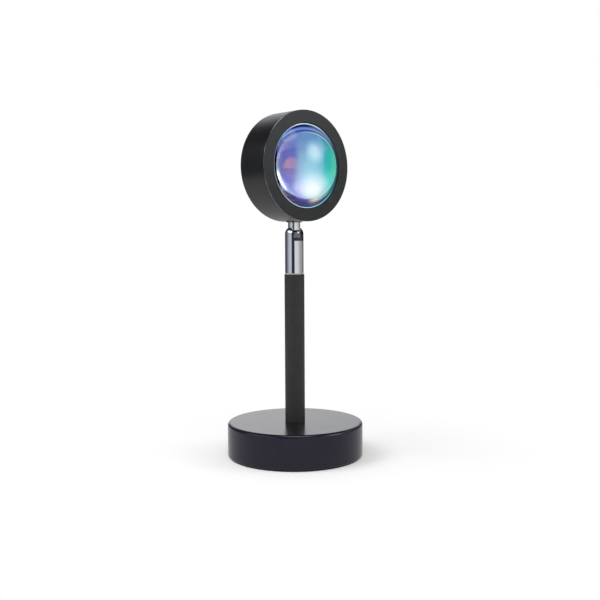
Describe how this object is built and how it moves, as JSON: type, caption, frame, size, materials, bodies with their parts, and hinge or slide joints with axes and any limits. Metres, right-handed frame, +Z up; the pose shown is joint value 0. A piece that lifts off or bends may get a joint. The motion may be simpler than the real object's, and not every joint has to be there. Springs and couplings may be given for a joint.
{
  "type": "sunset projection lamp",
  "caption": "Small table lamp that projects a coloured disc: a drum head with a glass dome lens on a ball knuckle, a slim pole and a round weighted base.",
  "frame": {"origin": "centre of the face that the lamp stands on", "axes": "+Z up the pole, -Y the way the lens looks, +Y the side of the cable inlet"},
  "size_m": [0.099, 0.1, 0.25],
  "materials": {
    "black_paint": "satin black powder coat",
    "chrome": "bright chrome plate",
    "dark_steel": "blackened steel",
    "zinc_plate": "zinc plate",
    "steel_screw": "plated steel",
    "spring_steel": "hardened spring steel",
    "cast_iron": "as cast, lightly oiled",
    "pad_rubber": "dense sheet rubber, matte",
    "black_rubber": "matte",
    "silicone": "translucent silicone",
    "thermal_pad": "soft filled silicone",
    "circuit_board": "green solder mask",
    "white_board": "white solder mask on aluminium",
    "black_plastic": "moulded",
    "white_plastic": "moulded",
    "clear_plastic": "clear moulded",
    "ferrite": "pressed ferrite",
    "capacitor_can": "drawn can",
    "wire_jacket": "extruded",
    "nylon": "natural nylon",
    "brass": "turned",
    "aluminium": "turned, lightly etched",
    "bright_aluminium": "vacuum metallised",
    "clear_glass": "polished",
    "filter_glass": "coated, blue to green",
    "emitter": "domed silicone over chips"
  },
  "bodies": {
    "stand": {"base_cover": "black_paint", "base_plate": "zinc_plate", "foot_pad": "pad_rubber", "base_plate_screws": "steel_screw", "counterweight": "cast_iron", "cable_grommet": "black_rubber", "driver_board": "circuit_board", "board_standoffs": "brass", "board_screws": "steel_screw", "driver_inductor": "ferrite", "driver_chip": "black_plastic", "driver_capacitors": "capacitor_can", "wire_connector": "white_plastic", "lock_washer": "steel_screw", "pole_nut": "steel_screw", "pole_nipple": "zinc_plate", "pole_bush": "zinc_plate", "pole_tube": "black_paint", "pole_wires": "wire_jacket", "swivel_spigot": "zinc_plate", "swivel_washer": "nylon"},
    "socket": {"socket_sleeve": "chrome", "socket_set_screw": "steel_screw", "spring_plug": "brass", "spring_washers": "spring_steel", "ball_seat": "nylon"},
    "stem": {"ball_stem": "chrome", "stem_nut": "brass"},
    "head": {"stem_collar": "dark_steel", "stem_saddle": "aluminium", "head_shell": "black_paint", "front_ring": "black_paint", "lens": "clear_glass", "lens_gasket": "silicone", "colour_filter": "filter_glass", "reflector_cup": "bright_aluminium", "heat_sink": "aluminium", "sink_screws": "steel_screw", "thermal_pad": "thermal_pad", "led_board": "white_board", "led_screws": "steel_screw", "led_emitters": "emitter", "condenser_lens": "clear_plastic", "head_wires": "wire_jacket"}
  },
  "joints": [
    {"name": "socket_pan", "type": "hinge", "parent": "stand", "child": "socket", "pos_m": [0, 0, 0.134], "axis": [0, 0, 1], "range_deg": [-160, 160]},
    {"name": "head_tilt", "type": "hinge", "parent": "socket", "child": "stem", "pos_m": [0, 0, 0.1623], "axis": [1, 0, 0], "range_deg": [0, 90]},
    {"name": "head_turn", "type": "hinge", "parent": "stem", "child": "head", "pos_m": [0, 0, 0.171], "axis": [0, 0, 1], "range_deg": [-170, 170]}
  ]
}
